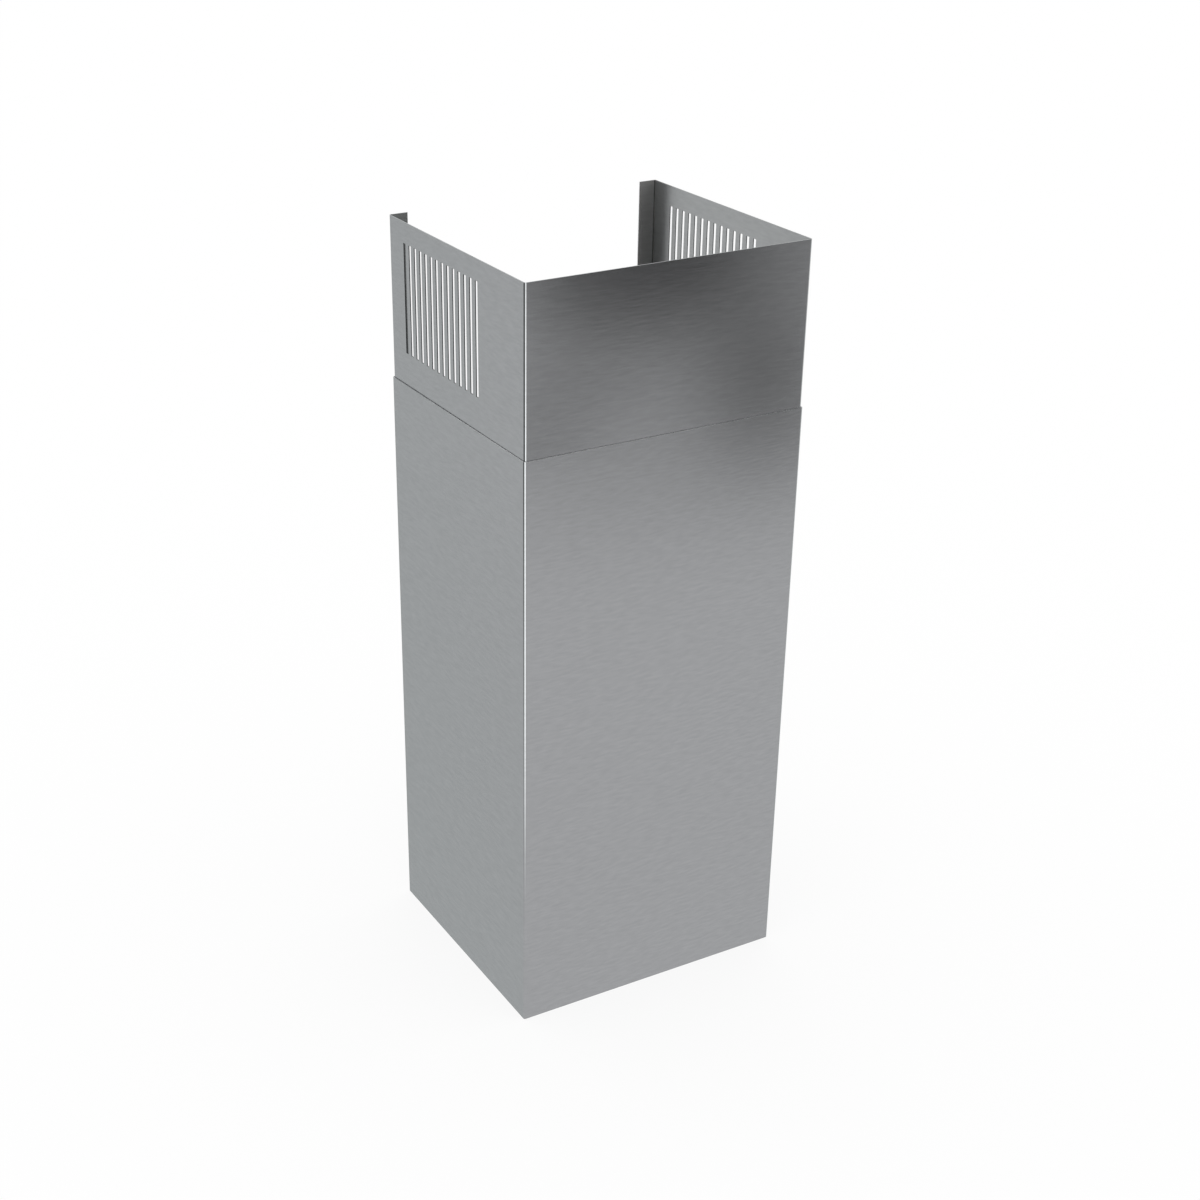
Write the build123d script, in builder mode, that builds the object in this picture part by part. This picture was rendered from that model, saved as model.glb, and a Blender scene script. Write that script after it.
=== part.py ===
import os

from build123d import *

# Telescopic chimney of a cooker hood: two covers folded from sheet, the upper one sliding
# inside the lower one. Sizes are in millimetres. +Z is up, the front faces -Y, and the open
# back stands against the wall at +Y. The origin is the middle of the lower cover's outline,
# at its bottom edge.

# Outline of the lower cover, over the outside of the sheet
cover_width = 268.0
cover_depth = 240.0
lower_height = 539.0

# Stainless sheet and its folds, alike on both covers
sheet = 0.8
inside_bend_radius = 1.0
flange_width = 17.0

# Upper cover, and how it stands in the lower one
slide_gap = 0.2
upper_height = 530.0
upper_reveal = 143.0

# Vent slots, one field of them in each side of the upper cover
slot_count = 14
slot_width = 4.0
slot_height = 96.0
slot_pitch = 10.0
slot_top_margin = 18.0
slot_rear_margin = 27.0

# Worked out from the sizes above
outside_bend_radius = inside_bend_radius + sheet
nesting_step = sheet + slide_gap
upper_width = cover_width - 2 * nesting_step
upper_depth = cover_depth - 2 * nesting_step
upper_top = lower_height + upper_reveal
upper_bottom = upper_top - upper_height


def folding_line(width, depth):
    """Outside of a cover seen from above: rear flange, side, front, side, rear flange."""
    side = width / 2
    rear = depth / 2
    return FilletPolyline(
        (flange_width - side, rear),
        (-side, rear),
        (-side, -rear),
        (side, -rear),
        (side, rear),
        (side - flange_width, rear),
        radius=outside_bend_radius,
    )


# Lower cover: one sheet with four folds, open along the back
with BuildPart() as lower_cover:
    with BuildLine(Plane.XY):
        folding_line(cover_width, cover_depth)
    make_brake_formed(sheet, lower_height, side=Side.LEFT)

# Upper cover: folded the same way, one sheet and a sliding gap smaller all round
with BuildPart() as upper_cover:
    with BuildLine(Plane.XY.offset(upper_bottom)):
        folding_line(upper_width, upper_depth)
    make_brake_formed(sheet, upper_height, side=Side.LEFT)

    # Vent slots, punched through both sides near the top and the back
    slot_field_length = (slot_count - 1) * slot_pitch + slot_width
    slot_field_y = upper_depth / 2 - slot_rear_margin - slot_field_length / 2
    slot_field_z = upper_top - slot_top_margin - slot_height / 2
    with BuildSketch(Plane.YZ):
        with Locations((slot_field_y, slot_field_z)):
            with GridLocations(slot_pitch, slot_height, slot_count, 1):
                Rectangle(slot_width, slot_height)
    extrude(amount=upper_width, both=True, mode=Mode.SUBTRACT)

# Each cover is written as its own part
os.makedirs("parts", exist_ok=True)

lower_cover.part.label = "lower_cover"
export_step(lower_cover.part, "parts/lower_cover.step")

upper_cover.part.label = "upper_cover"
export_step(upper_cover.part, "parts/upper_cover.step")
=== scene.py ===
import math

import bpy
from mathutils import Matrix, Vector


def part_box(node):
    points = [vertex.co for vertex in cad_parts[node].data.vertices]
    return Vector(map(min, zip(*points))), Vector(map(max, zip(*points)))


# the chimney of a wall cooker hood: two folded covers of brushed stainless steel, the upper one
# sliding in the lower one

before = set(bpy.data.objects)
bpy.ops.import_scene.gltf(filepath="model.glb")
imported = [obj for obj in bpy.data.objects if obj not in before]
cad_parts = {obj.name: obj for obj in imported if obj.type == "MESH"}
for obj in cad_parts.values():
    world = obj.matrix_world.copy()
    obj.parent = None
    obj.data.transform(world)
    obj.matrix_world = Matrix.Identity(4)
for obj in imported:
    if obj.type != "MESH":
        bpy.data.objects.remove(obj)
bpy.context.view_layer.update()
bpy.context.scene.view_settings.view_transform = "Standard"
print("frame loaded:", ", ".join(sorted(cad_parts)))


# camera, at the photograph's angle

cameraSetup = {
    "place": (-0.81134, -1.35245, 1.08124),
    "turn": 28.817,                # degrees from +Y towards +X
    "down": 26.742,                # degrees below level
    "lens": 57.583,                # millimetres
    "sensor": 36,                  # its width, in millimetres
    "shift": (0.06263, 0.04405),
    "nearest": 0.05,
    "farthest": 50,
}


def makeCamera(setup):
    bpy.ops.object.select_all(action="DESELECT")
    bpy.ops.object.camera_add(location=setup["place"])
    camera = bpy.context.object
    camera.name = "photoCamera"
    camera.rotation_euler = (
        math.radians(90 - setup["down"]),
        0,
        math.radians(-setup["turn"]),
    )
    camera.data.lens = setup["lens"]
    camera.data.sensor_width = setup["sensor"]
    camera.data.shift_x, camera.data.shift_y = setup["shift"]
    camera.data.clip_start = setup["nearest"]
    camera.data.clip_end = setup["farthest"]
    bpy.context.scene.camera = camera


makeCamera(cameraSetup)
print("camera placed")


# node helpers

def addNode(tree, kind, **settings):
    node = tree.nodes.new(kind)
    for name, value in settings.items():
        setattr(node, name, value)
    return node


def feed(tree, socket, value):
    # value is a number, a colour or another node's output
    if isinstance(value, bpy.types.NodeSocket):
        tree.links.new(value, socket)
    elif isinstance(value, tuple):
        socket.default_value = (*value, 1)
    else:
        socket.default_value = value


def mathNode(tree, operation, *values, clamp=False):
    node = addNode(tree, "ShaderNodeMath", operation=operation, use_clamp=clamp)
    for socket, value in zip(node.inputs, values):
        feed(tree, socket, value)
    return node.outputs[0]


def product(tree, first, *others):
    for other in others:
        first = mathNode(tree, "MULTIPLY", first, other)
    return first


def rampNode(tree, value, low, high, toLow=0.0, toHigh=1.0):
    # smooth step from low to high
    node = addNode(tree, "ShaderNodeMapRange", interpolation_type="SMOOTHSTEP")
    ends = {"Value": value, "From Min": low, "From Max": high, "To Min": toLow, "To Max": toHigh}
    for name, end in ends.items():
        feed(tree, node.inputs[name], end)
    return node.outputs["Result"]


def vectorNode(tree, operation, first, second=None):
    # second is a vector of three numbers or another node's output
    node = addNode(tree, "ShaderNodeVectorMath", operation=operation)
    tree.links.new(first, node.inputs[0])
    if isinstance(second, bpy.types.NodeSocket):
        tree.links.new(second, node.inputs[1])
    elif second is not None:
        node.inputs[1].default_value = second
    return node


def objectPlace(tree):
    return addNode(tree, "ShaderNodeTexCoord").outputs["Object"]


def surfaceNormal(tree, kind="Normal"):
    return addNode(tree, "ShaderNodeNewGeometry").outputs[kind]


def axesOf(tree, vector):
    node = addNode(tree, "ShaderNodeSeparateXYZ")
    tree.links.new(vector, node.inputs[0])
    return node.outputs


def newGroup(name, inputs, outputs):
    # all its sockets are numbers, and inputs gives each one's default
    group = bpy.data.node_groups.new(name, "ShaderNodeTree")
    for socketName, value in inputs.items():
        socket = group.interface.new_socket(socketName, in_out="INPUT", socket_type="NodeSocketFloat")
        socket.default_value = value
    for socketName in outputs:
        group.interface.new_socket(socketName, in_out="OUTPUT", socket_type="NodeSocketFloat")
    given = addNode(group, "NodeGroupInput").outputs
    result = addNode(group, "NodeGroupOutput").inputs
    return group, given, result


def placeGroup(tree, group, values):
    node = addNode(tree, "ShaderNodeGroup", node_tree=group)
    for name, value in values.items():
        node.inputs[name].default_value = value
    return node.outputs


# brushed grain: it runs level round the sheet, so it is long across X and Y and short up Z

grainSizes = {                     # in metres
    "Streak Length": 0.0118,
    "Streak Height": 0.0023,
    "Line Length": 0.04,
    "Line Height": 0.0003,
    "Offset": 0.0,                 # gives a sheet its own stretch of the pattern
}
grainDetail = {                    # finer levels of the noise, and how strong each is
    "streaks": 1.0,
    "lines": 2.0,
    "roughness": 0.55,
}


def makeGrainGroup(sizes, detail):
    group, given, result = newGroup("brushedGrain", sizes, ["Streaks", "Lines"])
    spread = addNode(group, "ShaderNodeCombineXYZ")
    for socket in spread.inputs:
        group.links.new(given["Offset"], socket)
    shifted = vectorNode(group, "ADD", objectPlace(group), spread.outputs[0]).outputs[0]

    def grain(length, height, levels):
        level = mathNode(group, "DIVIDE", 1.0, given[length])
        tall = mathNode(group, "DIVIDE", 1.0, given[height])
        size = addNode(group, "ShaderNodeCombineXYZ")
        for socket, value in zip(size.inputs, (level, level, tall)):
            group.links.new(value, socket)
        stretch = vectorNode(group, "MULTIPLY", shifted, size.outputs[0])
        noise = addNode(group, "ShaderNodeTexNoise", noise_dimensions="3D")
        group.links.new(stretch.outputs[0], noise.inputs["Vector"])
        noise.inputs["Scale"].default_value = 1.0
        noise.inputs["Detail"].default_value = levels
        noise.inputs["Roughness"].default_value = detail["roughness"]
        return noise.outputs["Fac"]

    feed(group, result["Streaks"], grain("Streak Length", "Streak Height", detail["streaks"]))
    feed(group, result["Lines"], grain("Line Length", "Line Height", detail["lines"]))
    return group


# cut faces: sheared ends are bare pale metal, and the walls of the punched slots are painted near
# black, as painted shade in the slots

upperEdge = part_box("upper_cover")[1]
cutPlaces = {                      # in metres from the middle, and heights for the slots
    "Side": upperEdge.x - 0.002,            # the side walls of both covers lie past this
    "Side Reach": upperEdge.y - 0.004,      # and their slots stop short of this
    "Back": upperEdge.y - 0.002,            # the rear flanges lie past this
    "Back Reach": upperEdge.x - 0.013,      # and their ends stop short of this
    "Slots From": upperEdge.z - 0.122,
    "Slots To": upperEdge.z - 0.012,
}
squareOn = 0.9                     # past this share of its normal, a face looks along an axis


def makeCutGroup(places):
    group, given, result = newGroup("cutFaces", places, ["Ends", "Slot Walls"])
    facing = axesOf(group, surfaceNormal(group, "True Normal"))
    where = axesOf(group, objectPlace(group))

    def compare(operation, value, limit):
        return mathNode(group, operation, mathNode(group, "ABSOLUTE", value), limit)

    alongX, alongY, alongZ = [compare("GREATER_THAN", facing[axis], squareOn) for axis in "XYZ"]
    inSide = product(
        group,
        compare("GREATER_THAN", where["X"], given["Side"]),
        compare("LESS_THAN", where["Y"], given["Side Reach"]),
    )
    slotHeight = product(
        group,
        compare("GREATER_THAN", where["Z"], given["Slots From"]),
        compare("LESS_THAN", where["Z"], given["Slots To"]),
    )
    inBack = product(
        group,
        compare("GREATER_THAN", where["Y"], given["Back"]),
        compare("LESS_THAN", where["X"], given["Back Reach"]),
    )
    slotSides = product(group, inSide, alongY)
    slotEnds = product(group, inSide, slotHeight, alongZ)
    walls = mathNode(group, "MAXIMUM", slotSides, slotEnds)
    ends = mathNode(group, "MAXIMUM", product(group, inBack, alongX), alongZ)
    feed(group, result["Slot Walls"], walls)
    feed(group, result["Ends"], mathNode(group, "SUBTRACT", ends, walls, clamp=True))
    return group


# folds: outside, the part of each towards the front carries a painted highlight and the part towards
# the side a painted dark reflection, most of all on the left front one, and each part grows from none
# at one height to full at another

foldPaintedLight = {
    "Other Folds": 0.12,           # share of it on the other three
    "Bright From": 0.0,            # heights in metres
    "Bright Full": 1.0,
    "Painted Dark From": 0.0,
    "Painted Dark Full": 1.0,
}
foldBands = {                      # how far the sheet has turned: 0 is the front, 1 a side
    "frontEdge": (0.10, 0.24),
    "middle": (0.65, 0.71),
    "sideEdge": (0.985, 1.0),
}


def makeFoldGroup(heights, bands):
    group, given, result = newGroup("foldPaintedLight", heights, ["Bright", "Painted Dark"])
    facing = axesOf(group, surfaceNormal(group))
    where = axesOf(group, objectPlace(group))
    sideways = mathNode(group, "ABSOLUTE", facing["X"])
    onLeft = mathNode(group, "LESS_THAN", facing["X"], 0.0)
    onFront = mathNode(group, "LESS_THAN", facing["Y"], 0.0)
    others = given["Other Folds"]
    left = mathNode(group, "SUBTRACT", 1.0, others)
    share = mathNode(group, "MULTIPLY_ADD", product(group, onLeft, onFront), left, others)

    # one painted band of a fold: the painted highlight or the painted dark reflection
    def paintBand(name, rise, fall):
        height = rampNode(group, where["Z"], given[f"{name} From"], given[f"{name} Full"])
        start = rampNode(group, sideways, *bands[rise])
        end = rampNode(group, sideways, *bands[fall], 1.0, 0.0)
        feed(group, result[name], product(group, start, end, height, share))

    paintBand("Bright", "frontEdge", "middle")
    paintBand("Painted Dark", "middle", "sideEdge")
    return group


# inside of the covers: the sheet's unbrushed side, and in it the rear flanges and the folds

insidePlaces = {                   # in metres
    "Depth": 0.1,                  # an inside face looks at the middle from at least this far
    "Back": upperEdge.y - 0.002,
}
insideFoldBands = {                # as in foldBands
    "frontEdge": (0.05, 0.20),
    "sideEdge": (0.90, 0.99),
}


def makeInsideGroup(places, bands):
    masks = ["Inside", "Flange", "Left Flange", "Folds"]
    group, given, result = newGroup("insideFaces", places, masks)
    level = vectorNode(group, "MULTIPLY", surfaceNormal(group), (1, 1, 0)).outputs[0]
    place = objectPlace(group)
    outward = vectorNode(group, "DOT_PRODUCT", level, place).outputs["Value"]
    inward = product(group, outward, -1.0)
    where = axesOf(group, place)
    inside = mathNode(group, "GREATER_THAN", inward, given["Depth"])
    flange = product(group, inside, mathNode(group, "GREATER_THAN", where["Y"], given["Back"]))
    leftFlange = product(group, flange, mathNode(group, "LESS_THAN", where["X"], 0.0))
    # the band of the inside folds, where shade is painted
    sideways = mathNode(group, "ABSOLUTE", axesOf(group, level)["X"])
    start = rampNode(group, sideways, *bands["frontEdge"])
    end = rampNode(group, sideways, *bands["sideEdge"], 1.0, 0.0)
    for name, mask in zip(masks, (inside, flange, leftFlange, product(group, inside, start, end))):
        feed(group, result[name], mask)
    return group


# painted shade: a darker patch at the left of the upper cover's front, just above where the lower
# one's edge meets it

seamShadePatch = {
    "Across": -0.134,              # its middle, in metres
    "Up": 0.538,
    "Half Width": 0.1,
    "Half Height": 0.045,
    "Amount": 0.0,                 # share of the brightness that it takes there
}
flatFront = -0.99                  # the folds' normals turn away from the front past this


def makeRubGroup(patch):
    group, given, result = newGroup("slideRub", patch, ["Rub"])
    where = axesOf(group, objectPlace(group))
    facing = axesOf(group, surfaceNormal(group))

    def squared(axis, middle, half):
        away = mathNode(group, "SUBTRACT", where[axis], given[middle])
        share = mathNode(group, "DIVIDE", away, given[half])
        return product(group, share, share)

    across = squared("X", "Across", "Half Width")
    up = squared("Z", "Up", "Half Height")
    away = mathNode(group, "SQRT", mathNode(group, "ADD", across, up))
    soft = rampNode(group, away, 0.0, 1.0, 1.0, 0.0)
    onFront = mathNode(group, "LESS_THAN", facing["Y"], flatFront)
    feed(group, result["Rub"], product(group, soft, onFront, given["Amount"]))
    return group


grainGroup = makeGrainGroup(grainSizes, grainDetail)
cutGroup = makeCutGroup(cutPlaces)
foldGroup = makeFoldGroup(foldPaintedLight, foldBands)
insideGroup = makeInsideGroup(insidePlaces, insideFoldBands)
seamShadeGroup = makeRubGroup(seamShadePatch)
print("shared effects made")


# brushed stainless steel

steelLower = {
    "colour": (0.332, 0.337, 0.346),
    "grazing": (0.68, 0.72, 0.71),       # tint of the sheen at a low angle
    "roughness": 0.18,
    "anisotropic": 0.5,
    "anisotropicTurn": 0.25,             # a quarter turn: the blur is wide across the grain
    # painted highlight and painted dark reflection along the outside folds
    "paintedHighlightColour": (0.90, 0.93, 0.94),
    "paintedDarkReflectionColour": (0.02, 0.022, 0.023),
    # heights over which the painted highlight and the painted dark reflection grow to full
    "folds": {"Bright From": 0.115, "Bright Full": 0.325, "Painted Dark From": 0.0, "Painted Dark Full": 0.75},
    "insideColour": (0.348, 0.356, 0.360),
    "insideRoughness": 0.34,
    # painted light: both rear flanges are painted lighter, then the left one is set back to about the
    # inside's tone, so only the right one is a lit copy
    "paintedLitFlangeColour": (0.57, 0.56, 0.55),
    "leftFlangeColour": (0.34, 0.35, 0.345),
    "flangeRoughness": 0.38,
    # painted shade in the inside folds
    "paintedFoldShadeColour": (0.09, 0.09, 0.09),
    "cutColour": (0.71, 0.71, 0.72),
    "cutRoughness": 0.6,
    # painted shade on the slot walls
    "paintedSlotShadeColour": (0.03, 0.03, 0.032),
    "grain": {"Offset": 0.0},
    "streakTone": 0.18,
    "lineTone": 0.08,
    "lineRoughness": 0.05,
    "relief": 0.00002,                   # in metres
    # the painted shade patch above the seam, none on the lower cover
    "seamShade": {"Amount": 0.0},
}
steelUpper = dict(
    steelLower,
    folds={"Bright From": 1.0, "Bright Full": 0.46, "Painted Dark From": -1.0, "Painted Dark Full": 0.0},
    cutColour=(0.58, 0.58, 0.59),
    grain={"Offset": 3.7},
    seamShade={"Amount": 0.16},
)


def makeSteel(name, look):
    material = bpy.data.materials.new(name)
    material.use_nodes = True
    tree = material.node_tree
    shader = tree.nodes["Principled BSDF"]
    feed(tree, shader.inputs["Metallic"], 1.0)
    feed(tree, shader.inputs["Specular Tint"], look["grazing"])
    feed(tree, shader.inputs["Anisotropic"], look["anisotropic"])
    feed(tree, shader.inputs["Anisotropic Rotation"], look["anisotropicTurn"])

    grain = placeGroup(tree, grainGroup, look["grain"])
    cut = placeGroup(tree, cutGroup, {})
    fold = placeGroup(tree, foldGroup, look["folds"])
    inside = placeGroup(tree, insideGroup, {})
    seamShade = placeGroup(tree, seamShadeGroup, look["seamShade"])

    def mix(mask, first, second):
        # from first to second where the mask says, both colours or both numbers
        kind = "RGBA" if isinstance(second, tuple) else "FLOAT"
        node = addNode(tree, "ShaderNodeMix", data_type=kind)
        for socketName, value in (("Factor", mask), ("A", first), ("B", second)):
            feed(tree, node.inputs[socketName], value)
        return node.outputs["Result"]

    def around(value, amount, middle):
        # swings by half of amount each way round middle as value goes from 0 to 1
        return mathNode(tree, "MULTIPLY_ADD", mathNode(tree, "SUBTRACT", value, 0.5), amount, middle)

    # colour: painted highlight and painted dark reflection on the folds outside, then the inside and
    # the cuts, all toned along the grain
    sheet = mix(fold["Bright"], look["colour"], look["paintedHighlightColour"])
    sheet = mix(fold["Painted Dark"], sheet, look["paintedDarkReflectionColour"])
    sheet = mix(inside["Inside"], sheet, look["insideColour"])
    # painted light on the rear flanges, taken back off the left one below
    sheet = mix(inside["Flange"], sheet, look["paintedLitFlangeColour"])
    sheet = mix(inside["Left Flange"], sheet, look["leftFlangeColour"])
    # painted shade in the inside folds
    sheet = mix(inside["Folds"], sheet, look["paintedFoldShadeColour"])
    sheet = mix(cut["Ends"], sheet, look["cutColour"])
    # painted shade on the slot walls
    sheet = mix(cut["Slot Walls"], sheet, look["paintedSlotShadeColour"])
    streak = around(grain["Streaks"], look["streakTone"], 1.0)
    line = around(grain["Lines"], look["lineTone"], 0.0)
    # the grain's tone, less the painted shade patch above the seam
    tone = mathNode(tree, "SUBTRACT", mathNode(tree, "ADD", streak, line), seamShade["Rub"])
    toned = vectorNode(tree, "SCALE", sheet)
    feed(tree, toned.inputs["Scale"], tone)
    feed(tree, shader.inputs["Base Color"], toned.outputs[0])

    # roughness: varies along the fine lines, with duller insides and rough cuts
    rough = around(grain["Lines"], look["lineRoughness"], look["roughness"])
    rough = mix(inside["Inside"], rough, look["insideRoughness"])
    rough = mix(inside["Flange"], rough, look["flangeRoughness"])
    rough = mix(cut["Ends"], rough, look["cutRoughness"])
    rough = mix(cut["Slot Walls"], rough, look["cutRoughness"])
    feed(tree, shader.inputs["Roughness"], rough)

    # the grain's relief
    bump = addNode(tree, "ShaderNodeBump")
    feed(tree, bump.inputs["Strength"], 1.0)
    feed(tree, bump.inputs["Distance"], look["relief"])
    feed(tree, bump.inputs["Height"], grain["Streaks"])
    feed(tree, shader.inputs["Normal"], bump.outputs["Normal"])
    return material


def dress(nodeName, material):
    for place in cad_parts[nodeName].material_slots:
        place.material = material


dress("lower_cover", makeSteel("steelLowerCover", steelLower))
dress("upper_cover", makeSteel("steelUpperCover", steelUpper))
print("steel on both covers")


# studio: a white surround, a pale floor, and a flag that only reflections see

surround = {
    "colour": (1, 1, 1),
    "strength": 1.0,
}


def makeWorld(setup):
    world = bpy.data.worlds.new("studioWhite")
    bpy.context.scene.world = world
    world.use_nodes = True
    background = world.node_tree.nodes["Background"]
    feed(world.node_tree, background.inputs["Color"], setup["colour"])
    feed(world.node_tree, background.inputs["Strength"], setup["strength"])


floorSetup = {
    "width": 16.0,
    "drop": 0.0004,        # below the chimney's foot
    "shadow": 0.16,        # share of the white that shadows can take away
    "dimFrom": 3.0,        # metres away, where the floor that reflections see starts to dim
    "dimFull": 7.0,
    "dimTo": 0.5,
}


def makeFloor(setup):
    bpy.ops.object.select_all(action="DESELECT")
    bpy.ops.mesh.primitive_plane_add(size=setup["width"], location=(0, 0, -setup["drop"]))
    floor = bpy.context.object
    floor.name = "floor"
    material = bpy.data.materials.new("floorWhite")
    material.use_nodes = True
    tree = material.node_tree
    tree.nodes.clear()
    paint = addNode(tree, "ShaderNodeBsdfDiffuse")
    feed(tree, paint.inputs["Color"], (setup["shadow"],) * 3)
    glow = addNode(tree, "ShaderNodeEmission")
    feed(tree, glow.inputs["Strength"], 1.0 - setup["shadow"])
    shaded = addNode(tree, "ShaderNodeAddShader")
    feed(tree, shaded.inputs[0], paint.outputs[0])
    feed(tree, shaded.inputs[1], glow.outputs[0])

    # reflections see a plain white one that dims with distance
    plain = addNode(tree, "ShaderNodeEmission")
    distance = vectorNode(tree, "LENGTH", objectPlace(tree)).outputs["Value"]
    dimmed = rampNode(tree, distance, setup["dimFrom"], setup["dimFull"], 1.0, setup["dimTo"])
    feed(tree, plain.inputs["Strength"], dimmed)
    pick = addNode(tree, "ShaderNodeMixShader")
    feed(tree, pick.inputs[0], addNode(tree, "ShaderNodeLightPath").outputs["Is Glossy Ray"])
    feed(tree, pick.inputs[1], shaded.outputs[0])
    feed(tree, pick.inputs[2], plain.outputs[0])
    out = addNode(tree, "ShaderNodeOutputMaterial")
    feed(tree, out.inputs["Surface"], pick.outputs[0])
    floor.data.materials.append(material)


flagSetup = {              # grey and black, for the soft dark area at the top of the front
    "name": "flagFrontRight",
    "place": (0.75, -1.02, 0.675),
    "size": (1.40, 1.35),
    "shades": [            # soft rounds on it: middle, half size and share of the white they take
        {"middle": (-0.244, -0.272), "half": (0.345, 0.168), "takes": 0.84},
        {"middle": (0.005, -0.492), "half": (0.174, 0.173), "takes": 0.48},
        {"middle": (-0.386, -0.462), "half": (0.237, 0.050), "takes": 0.97},
        {"middle": (0.002, -0.190), "half": (0.670, 0.844), "takes": 0.54},
        {"middle": (-0.200, 0.110), "half": (0.500, 0.330), "takes": 0.60},
        {"middle": (-0.400, -0.630), "half": (0.300, 0.140), "takes": 0.06},
        {"middle": (-0.020, -0.560), "half": (0.200, 0.080), "takes": 0.05},
    ],
}


def makeFlagTone(name, shades):
    material = bpy.data.materials.new(name)
    material.use_nodes = True
    tree = material.node_tree
    tree.nodes.clear()
    where = objectPlace(tree)
    strength = 1.0
    for shade in shades:
        centred = vectorNode(tree, "SUBTRACT", where, (*shade["middle"], 0))
        scaled = vectorNode(tree, "DIVIDE", centred.outputs[0], (*shade["half"], 1))
        away = vectorNode(tree, "LENGTH", scaled.outputs[0])
        taken = rampNode(tree, away.outputs["Value"], 0.0, 1.0, shade["takes"], 0.0)
        strength = mathNode(tree, "SUBTRACT", strength, taken)
    glow = addNode(tree, "ShaderNodeEmission")
    feed(tree, glow.inputs["Strength"], mathNode(tree, "MAXIMUM", strength, 0.0))
    out = addNode(tree, "ShaderNodeOutputMaterial")
    feed(tree, out.inputs["Surface"], glow.outputs[0])
    return material


def makeFlag(setup):
    # upright, facing the chimney's front
    bpy.ops.object.select_all(action="DESELECT")
    upright = (math.radians(90), 0, 0)
    bpy.ops.mesh.primitive_plane_add(size=1, location=setup["place"], rotation=upright)
    flag = bpy.context.object
    flag.name = setup["name"]
    flag.scale = (*setup["size"], 1)
    bpy.ops.object.transform_apply(location=False, rotation=False, scale=True)
    flag.data.materials.append(makeFlagTone(setup["name"], setup["shades"]))
    flag.visible_camera = False
    flag.visible_diffuse = False
    flag.visible_shadow = False
    flag.visible_transmission = False
    flag.visible_volume_scatter = False


makeWorld(surround)
makeFloor(floorSetup)
makeFlag(flagSetup)
print("studio set")
